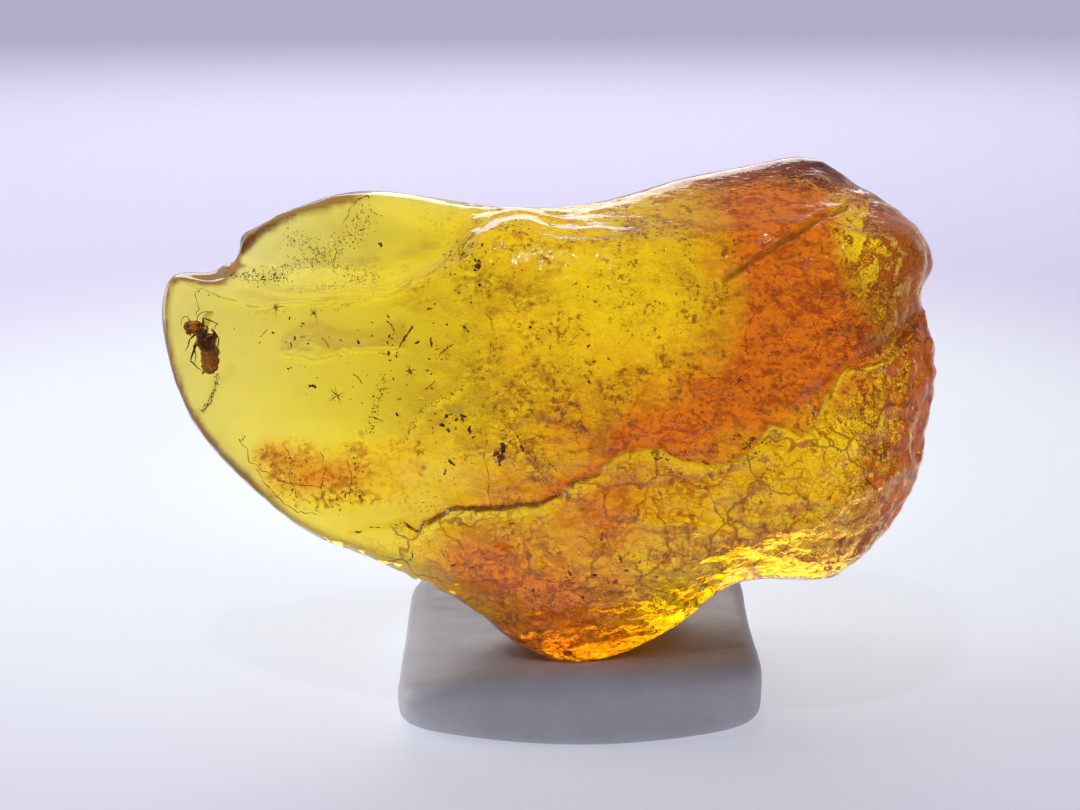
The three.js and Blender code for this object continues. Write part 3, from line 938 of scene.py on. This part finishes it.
def make_legs(skin):
    shape = Shape()
    for joints in LEGS:
        spots = [insect_spot(*joint) for joint in joints]
        for (start, end), thick in zip(zip(spots, spots[1:]), (0.042, 0.026, 0.016)):
            bow = (start + end) / 2 + UP * (0.015 * MM)
            tube(shape, [start, bow, end], taper(thick, 0.4), sides=8, stations=12)
        for knee in spots[1:3]:
            ball(shape, knee, (0.026, 0.026, 0.026), rings=6)
        foot = spots[3]
        for spread in (-0.03, 0.03):
            claw = foot + ACROSS * (spread * MM) - UP * (0.04 * MM)
            tube(shape, [foot, (foot + claw) / 2 + ACROSS * (spread * 0.3 * MM), claw], taper(0.008), 6, 5)
    shape.finish("insect_legs", skin)


def make_antennae(skin):
    shape = Shape()
    routes = [
        [(-13.55, 13.18, 0.16), (-13.70, 13.42, 0.20), (-13.86, 13.34, 0.18), (-13.92, 13.10, 0.14)],
        [(-13.32, 13.22, 0.18), (-13.24, 13.46, 0.24), (-13.00, 13.60, 0.26), (-12.72, 13.56, 0.22)],
    ]
    for route in routes:
        path = [insect_spot(*spot) for spot in route]
        tube(shape, path, lambda t: 0.017 * (1.15 - 0.5 * t) * (0.72 + 0.28 * abs(math.sin(t * 33))), 8, 80)
    shape.finish("insect_antennae", skin)


def make_wings(film):
    """Two short folded wings: thin curved blades."""
    shape = Shape()
    wings = [
        [(-12.98, 12.90, -0.10), (-12.96, 13.20, -0.12), (-12.86, 13.45, -0.14), (-12.64, 13.62, -0.12)],
        [(-12.72, 12.60, 0.26), (-12.62, 12.20, 0.32), (-12.62, 11.80, 0.30), (-12.70, 11.46, 0.24)],
    ]

    def blade(t):
        return 0.17 * math.sin(math.pi * min(t * 0.9 + 0.08, 1)) ** 0.6

    for route in wings:
        path = [insect_spot(*spot) for spot in route]
        tube(shape, path, blade, sides=20, stations=24, flatten=0.07)
    shape.finish("insect_wings", film)


def make_bubbles(gas):
    """The yellow air bubble at the neck and the tiny ones that glint on the body."""
    shape = Shape()
    ball(shape, insect_spot(-12.98, 12.93, 0.26), (0.16, 0.15, 0.12), rings=16, shaping=lumpy(9, 0.08))
    glints = [
        (-13.20, 12.78, 0.30, 0.030), (-12.88, 12.69, 0.34, 0.024), (-12.70, 12.35, 0.36, 0.040),
        (-13.08, 12.03, 0.34, 0.028), (-12.78, 11.74, 0.38, 0.032), (-12.82, 11.56, 0.36, 0.030),
        (-12.44, 12.15, 0.10, 0.040), (-13.30, 12.92, 0.28, 0.022), (-12.60, 11.86, 0.30, 0.020),
    ]
    for x, u, nearer, radius in glints:
        ball(shape, insect_spot(x, u, nearer), (radius, radius * 0.8, radius), rings=10)
    shape.finish("insect_bubbles", gas)


def make_insect():
    brown = solid_material("insect_brown", (0.50, 0.17, 0.03), (0.16, 0.035, 0.006), 0.22, 0.07, 0.55)
    orange = solid_material("insect_orange", (0.80, 0.36, 0.06), (0.50, 0.16, 0.02), 0.25, 0.12, 0.65)
    dark = solid_material("insect_dark", (0.16, 0.05, 0.012), (0.04, 0.012, 0.005), 0.25, 0.03)
    make_head(orange)
    make_eyes(dark)
    make_thorax(brown)
    make_abdomen(solid_material("insect_abdomen", (0.72, 0.34, 0.06), (0.34, 0.10, 0.015), 0.22, 0.08, 0.60))
    make_legs(dark)
    make_antennae(dark)
    make_wings(film_material("insect_wing", (0.66, 0.58, 0.22), 0.30))
    make_bubbles(gas_material())


# ---- Debris, hairs, cracks and spangles ----

# Scattered dirt: the middle and reach of each patch in x and u, how many, and the largest size.
DIRT_PATCHES = [
    (-9.5, 12.6, 2.6, 1.0, 18, 0.04), (-7.0, 12.9, 3.2, 1.1, 30, 0.045), (-4.6, 12.6, 1.8, 1.4, 34, 0.05),
    (-5.6, 10.6, 2.6, 1.8, 36, 0.05), (-8.8, 10.8, 1.8, 1.6, 16, 0.045), (-3.4, 9.4, 0.7, 0.5, 22, 0.08),
    (-1.5, 8.2, 0.30, 0.35, 18, 0.12), (-3.3, 7.9, 0.9, 0.25, 14, 0.07), (-0.5, 12.5, 2.6, 2.4, 40, 0.06),
    (3.4, 12.6, 3.0, 3.0, 40, 0.06), (-2.5, 15.2, 1.6, 0.8, 46, 0.07), (-11.0, 14.9, 1.0, 0.45, 30, 0.05),
    (1.5, 16.3, 3.2, 1.2, 44, 0.06), (6.4, 14.6, 2.2, 2.0, 26, 0.06), (4.6, 8.3, 1.6, 0.5, 26, 0.07),
    (7.6, 8.5, 0.7, 0.35, 24, 0.09), (10.0, 9.5, 0.8, 0.5, 16, 0.08), (2.0, 4.4, 3.0, 1.8, 60, 0.07),
    (6.0, 4.2, 1.2, 0.7, 20, 0.06), (-2.4, 4.6, 1.8, 1.2, 26, 0.06), (9.4, 6.8, 2.4, 1.6, 34, 0.06),
    (-8.7, 6.9, 1.8, 1.2, 12, 0.05),
]
# Straight bits of plant: start, end and thickness.
TWIGS = [
    (-4.95, 12.9, -5.4, 12.0, 0.040), (-8.9, 10.75, -8.6, 10.68, 0.060), (-6.3, 16.15, -6.2, 16.0, 0.055),
    (-3.9, 11.9, -3.3, 12.3, 0.022), (-7.2, 11.2, -6.8, 10.8, 0.020), (-5.9, 13.2, -5.6, 12.8, 0.025),
    (-10.8, 12.6, -10.5, 12.9, 0.016), (-2.1, 13.4, -1.8, 12.8, 0.022), (-4.4, 10.6, -4.0, 10.9, 0.020),
    (-1.0, 8.9, -0.7, 8.3, 0.030), (0.9, 12.2, 1.3, 12.6, 0.022), (4.0, 13.8, 4.5, 13.5, 0.026),
    (-6.6, 9.6, -6.0, 9.4, 0.018), (-8.4, 12.6, -8.1, 12.2, 0.018), (2.2, 10.6, 2.9, 10.9, 0.022),
]
# Plant hairs that spread from one point: its place, and how long their arms are.
HAIR_STARS = [
    (-10.2, 13.7, 0.40), (-8.7, 13.5, 0.34), (-7.8, 10.4, 0.55), (-5.0, 11.3, 0.35), (-2.9, 12.9, 0.30),
]
# Thin healed cracks and flow lines, seen edge on.
CRACK_LINES = [
    [(-13.25, 13.35), (-13.28, 13.85), (-13.30, 14.30), (-13.15, 14.40), (-12.90, 14.28), (-12.55, 14.12)],
    [(-12.45, 11.2), (-12.62, 10.8), (-12.70, 10.3), (-12.90, 9.95), (-13.10, 9.75)],
    [(-8.0, 14.9), (-8.05, 15.4), (-7.95, 16.0)],
    [(-7.70, 17.0), (-7.45, 17.5), (-7.15, 17.75), (-6.75, 17.80)],
    [(-2.10, 9.1), (-2.15, 8.2), (-2.05, 7.1), (-2.00, 6.2)],
    [(-11.6, 8.8), (-11.2, 7.9), (-10.4, 7.3), (-9.5, 7.0), (-8.4, 6.9)],
    [(-11.0, 7.6), (-10.3, 6.6), (-9.4, 6.0), (-8.6, 5.9)],
    [(-9.9, 8.6), (-9.6, 7.9), (-9.7, 7.2), (-9.4, 6.5)],
    [(-8.5, 8.4), (-8.3, 7.6), (-8.5, 6.8), (-8.2, 6.2)],
    [(-7.4, 8.0), (-7.2, 7.2), (-7.5, 6.5)],
    [(6.7, 14.6), (7.7, 15.3), (8.4, 15.8), (9.1, 16.2), (10.0, 16.7)],
    [(7.9, 13.6), (7.4, 12.6), (7.6, 11.6), (7.1, 10.8)],
    [(10.5, 14.3), (9.9, 13.3), (10.2, 12.3), (9.6, 11.5)],
    [(5.4, 11.6), (6.2, 11.0), (7.2, 10.9), (8.4, 10.3)],
]


def scattered(draw, cx, cu, across, up, deepest, count):
    """Random places round (cx, cu), down to the deepest share. One beside the nugget is None."""
    for _ in range(count):
        x = cx + draw.gauss(0, 0.5) * across
        u = cu + draw.gauss(0, 0.5) * up
        yield inside(x, u, draw.uniform(0.0, deepest))


def make_dirt(dark):
    shape = Shape()
    draw = random.Random(11)
    for cx, cu, across, up, count, largest in DIRT_PATCHES:
        for spot in scattered(draw, cx, cu, across, up, 0.5, count):
            size = largest * draw.uniform(0.15, 1.0) ** 2
            turn = draw.uniform(0, math.pi)
            long = draw.uniform(1.0, 2.3)
            seed = draw.uniform(0, 50)
            if spot is not None:
                ball(shape, spot, (size * long, size * 0.8, size), turn, rings=5, shaping=lumpy(seed, 0.9))
    shape.finish("sealed_dirt", dark)


def make_twigs(brown):
    shape = Shape()
    for x, u, end_x, end_u, thick in TWIGS:
        bend = ((x + end_x) / 2 + 0.04, (u + end_u) / 2 + 0.05, 0.14)
        path = path_inside([(x, u, 0.10), bend, (end_x, end_u, 0.18)])
        tube(shape, path, lambda t: thick * (0.75 + 0.25 * math.sin(t * 19)), sides=8, stations=20)
    shape.finish("sealed_twigs", brown)


def make_hairs(dark):
    """Stellate plant hairs: fine curved arms that spread from one point."""
    shape = Shape()
    draw = random.Random(5)
    for x, u, length in HAIR_STARS:
        root = inside(x, u, 0.15)
        for arm in range(9):
            angle = arm * 2 * math.pi / 9 + draw.uniform(-0.3, 0.3)
            reach = length * draw.uniform(0.45, 1.0) * MM
            away = ACROSS * math.cos(angle) + UP * math.sin(angle) + BACK * draw.uniform(-0.3, 0.3)
            bend = ACROSS * draw.uniform(-0.2, 0.2) + UP * draw.uniform(-0.2, 0.2)
            path = [root, root + away * reach * 0.5 + bend * reach * 0.5, root + (away + bend) * reach]
            tube(shape, path, lambda t: 0.016 * (1.05 - t), sides=6, stations=8)
    shape.finish("sealed_hairs", dark)


def jagged(line, draw, spread=0.07, pieces=4):
    """The line's (x, u) points with uneven ones put between them, as a crack runs."""
    points = []
    for (x, u), (end_x, end_u) in zip(line, line[1:]):
        for k in range(pieces):
            t = k / pieces
            points.append((x + (end_x - x) * t + draw.uniform(-spread, spread),
                           u + (end_u - u) * t + draw.uniform(-spread, spread)))
    return points + [line[-1]]


def make_cracks(stain):
    shape = Shape()
    draw = random.Random(8)
    for line in CRACK_LINES:
        path = path_inside(jagged(line, draw), 0.08)
        wave = draw.uniform(0, 6)
        tube(shape, path, lambda t: 0.011 + 0.004 * math.sin(t * 31 + wave), 6, len(path) * 5, flatten=2.5)
    shape.finish("sealed_cracks", stain)


# Clouds of very fine dust along a line: (path, half width, how many).
HAZES = [
    ([(-10.6, 14.9), (-9.6, 15.3), (-8.4, 15.7), (-7.3, 16.5), (-6.7, 17.3)], 0.50, 420),
    ([(-9.9, 16.4), (-8.9, 16.2), (-7.9, 15.2), (-6.6, 14.9)], 0.40, 260),
    ([(-12.3, 15.0), (-11.6, 14.8), (-10.8, 14.7), (-10.0, 14.8)], 0.22, 240),
    ([(-9.8, 14.3), (-8.6, 14.35), (-7.4, 14.5), (-6.2, 14.8)], 0.10, 120),
    ([(-1.7, 12.9), (-1.9, 11.6), (-3.3, 10.4), (-4.5, 9.8), (-5.1, 8.7)], 0.16, 260),
    ([(-12.5, 11.3), (-12.6, 10.6), (-12.8, 10.2), (-13.1, 9.8)], 0.10, 110),
    ([(-6.6, 9.0), (-6.2, 10.2), (-5.9, 11.2)], 0.25, 160),
    ([(-10.4, 8.4), (-9.8, 7.7), (-10.0, 6.9), (-9.4, 6.4)], 0.14, 50),
    ([(-7.3, 8.4), (-7.0, 7.7), (-7.2, 7.0), (-6.9, 6.6)], 0.18, 60),
]
FLAKE_CLUSTERS = 90
FLAKES_EACH = 14
# Sun spangles, which are flat discs inside the amber: (x, u, reach, how many).
SPANGLES = [
    (-11.5, 8.7, 0.20, 4), (-6.9, 7.6, 0.35, 10), (-7.7, 6.5, 0.75, 22), (-9.2, 7.6, 0.8, 12),
    (2.1, 14.1, 0.9, 20), (13.9, 15.7, 0.8, 110), (12.6, 13.9, 1.6, 60), (11.0, 16.4, 0.6, 30),
    (1.4, 1.2, 1.2, 26), (7.5, 15.2, 0.4, 8), (0.8, 7.6, 1.0, 14), (-2.6, 14.8, 1.3, 24),
    (5.6, 3.4, 0.8, 16), (3.0, 12.0, 2.6, 16), (10.6, 13.2, 1.0, 10),
]


def make_hazes(dust):
    shape = Shape()
    draw = random.Random(31)
    for line, half_width, count in HAZES:
        for _ in range(count):
            spot = draw.random() * (len(line) - 1)
            k = int(spot)
            x = line[k][0] + (line[k + 1][0] - line[k][0]) * (spot - k) + draw.gauss(0, 0.5) * half_width
            u = line[k][1] + (line[k + 1][1] - line[k][1]) * (spot - k) + draw.gauss(0, 0.5) * half_width
            middle = inside(x, u, draw.uniform(0.0, 0.45))
            size = draw.uniform(0.006, 0.022)
            turn = draw.uniform(0, math.pi)
            long = draw.uniform(1.0, 3.0)
            if middle is not None:
                ball(shape, middle, (size * long, size, size), turn, rings=3)
    shape.finish("sealed_haze", dust)


def make_flakes(clear_brown):
    """Tiny flat fissures and flakes just under the body's front, which make it look crumbly."""
    shape = Shape()
    draw = random.Random(47)
    for _ in range(FLAKE_CLUSTERS):
        cx = draw.uniform(-5.0, 13.5)
        cu = draw.uniform(2.0, 17.5)
        reach = draw.uniform(0.3, 1.1)
        lie = draw.gauss(0.1, 0.5)
        for spot in scattered(draw, cx, cu, reach, reach, 0.15, FLAKES_EACH):
            long = draw.uniform(0.02, 0.07)
            turn = lie + draw.gauss(0, 0.35)
            seed = draw.uniform(0, 50)
            if spot is not None:
                ball(shape, spot, (long, long * 0.28, 0.02), turn, rings=4, shaping=lumpy(seed, 0.8))
    shape.finish("sealed_flakes", clear_brown)


def spangle(shape, spot, size, normal, spin):
    """A thin eight-cornered disc with a slightly raised middle on each side."""
    wide = normal.cross(UP * math.cos(spin) + ACROSS * math.sin(spin)).normalized()
    tall = normal.cross(wide) * (size * 0.7 * MM)
    wide *= size * MM
    raised = normal * (0.012 * MM)
    corners = [spot + raised, spot - raised]
    for k in range(8):
        edge = 0.75 + 0.25 * math.sin(k * 2.7 + spin * 9)
        angle = k * math.pi / 4
        corners.append(spot + (wide * math.cos(angle) + tall * math.sin(angle)) * edge)
    faces = [(0, 2 + k, 2 + (k + 1) % 8) for k in range(8)]
    faces += [(1, 2 + (k + 1) % 8, 2 + k) for k in range(8)]
    shape.add(corners, faces)


def make_spangles(gold):
    shape = Shape()
    draw = random.Random(21)
    facing_floor = -BACK - UP * 0.27
    for cx, cu, reach, count in SPANGLES:
        for spot in scattered(draw, cx, cu, reach, reach, 0.25, count):
            size = draw.uniform(0.02, 0.08)
            wobble = Vector((draw.gauss(0, 1), draw.gauss(0, 1), draw.gauss(0, 1)))
            spin = draw.uniform(0, math.pi)
            if spot is not None:
                spangle(shape, spot, size, (facing_floor + wobble * 0.10).normalized(), spin)
    shape.finish("sealed_spangles", gold)


def make_sealed_things():
    dirt = solid_material("dirt", (0.44, 0.20, 0.04), (0.09, 0.04, 0.010), 0.5, 0.10)
    plant = solid_material("plant", (0.30, 0.11, 0.02), (0.12, 0.04, 0.010), 0.5, 0.06)
    stain = solid_material("crack_stain", (0.26, 0.09, 0.02), (0.12, 0.03, 0.008), 0.4, 0.10)
    make_dirt(dirt)
    make_twigs(plant)
    make_hairs(plant)
    make_cracks(stain)
    make_hazes(solid_material("haze_dust", (0.55, 0.42, 0.22), (0.30, 0.20, 0.08), 0.6, 0.1))
    make_flakes(solid_material("flake", (0.90, 0.55, 0.10), (0.60, 0.26, 0.03), 0.1, 0.1, 0.85))
    make_spangles(spangle_material())


# ---- Camera, floor and light ----


def aim(thing, target):
    thing.rotation_euler = (target - thing.location).to_track_quat("-Z", "Y").to_euler()


def make_camera():
    target = place(*CAMERA_AIM)
    data = bpy.data.cameras.new("camera")
    data.sensor_width = 36
    data.lens = data.sensor_width * CAMERA_DISTANCE / CAMERA_SPAN
    data.clip_start = 1 * MM
    camera = show("camera", data)
    camera.location = target - BACK * CAMERA_DISTANCE
    aim(camera, target)
    bpy.context.scene.camera = camera


# The floor's reach, and the middle of its glow just behind the block, in millimetres.
FLOOR_RADIUS = 600
GLOW_MIDDLE = (0, 30, 0)


def make_floor():
    """A pale floor that glows softly round the object, as a light table does, and fades to lavender."""
    bpy.ops.mesh.primitive_circle_add(vertices=96, radius=FLOOR_RADIUS * MM, fill_type="NGON")
    floor = bpy.context.object
    floor.name = "floor"
    m = Nodes("floor_pale")
    away = m.new("ShaderNodeVectorMath")
    away.operation = "DISTANCE"
    m.put(m.where, away.inputs[0])
    m.put(GLOW_MIDDLE, away.inputs[1])
    near = m.band(away.outputs["Value"], 64.0, 24.0)
    hot = m.band(away.outputs["Value"], 25.0, 6.0)
    colour = m.mix(near, (0.68, 0.65, 0.82), (0.76, 0.80, 0.86))
    glow_colour = m.mix(near, (0.70, 0.66, 0.95), (0.94, 0.97, 1.0))
    glow = m.add(0.29, m.add(m.times(near, 0.10), m.times(hot, 0.18)))
    m.surface(Base_Color=colour, Roughness=0.8, Emission_Color=glow_colour, Emission_Strength=glow)
    floor.data.materials.append(m.material)


def add_softbox(name, location_mm, size_mm, target_mm, watts):
    data = bpy.data.lights.new(name, "AREA")
    data.shape = "RECTANGLE"
    data.size = size_mm[0] * MM
    data.size_y = size_mm[1] * MM
    data.energy = watts
    lamp = show(name, data)
    lamp.location = Vector(location_mm) * MM
    aim(lamp, Vector(target_mm) * MM)


def make_light():
    """Soft lamps behind and at the left, a small one for glints, and a studio that is brighter behind."""
    bpy.context.scene.view_settings.view_transform = "Standard"
    add_softbox("behind", (-10, 180, 100), (160, 90), (0, 15, 8), 0.11)
    add_softbox("left", (-140, 20, 40), (90, 70), (0, 0, 10), 0.09)
    add_softbox("glint", (-20, -70, 190), (7, 7), (0, 0, 12), 0.018)
    world = bpy.data.worlds.new("studio")
    bpy.context.scene.world = world
    world.use_nodes = True
    tree = world.node_tree
    sky = tree.nodes["Background"]
    direction = tree.nodes.new("ShaderNodeTexCoord")
    facing = tree.nodes.new("ShaderNodeVectorMath")
    facing.operation = "DOT_PRODUCT"
    facing.inputs[1].default_value = (-0.35, 1.0, -0.5)
    fade = tree.nodes.new("ShaderNodeMapRange")
    for name, value in (("From Min", -0.6), ("From Max", 0.7), ("To Min", 0.20), ("To Max", 0.66)):
        fade.inputs[name].default_value = value
    tree.links.new(direction.outputs["Generated"], facing.inputs[0])
    tree.links.new(facing.outputs["Value"], fade.inputs["Value"])
    tree.links.new(fade.outputs["Result"], sky.inputs["Strength"])
    sky.inputs["Color"].default_value = (0.95, 0.93, 1.0, 1)


make_camera()
make_floor()
make_light()
make_nugget()
make_block()
make_insect()
make_sealed_things()
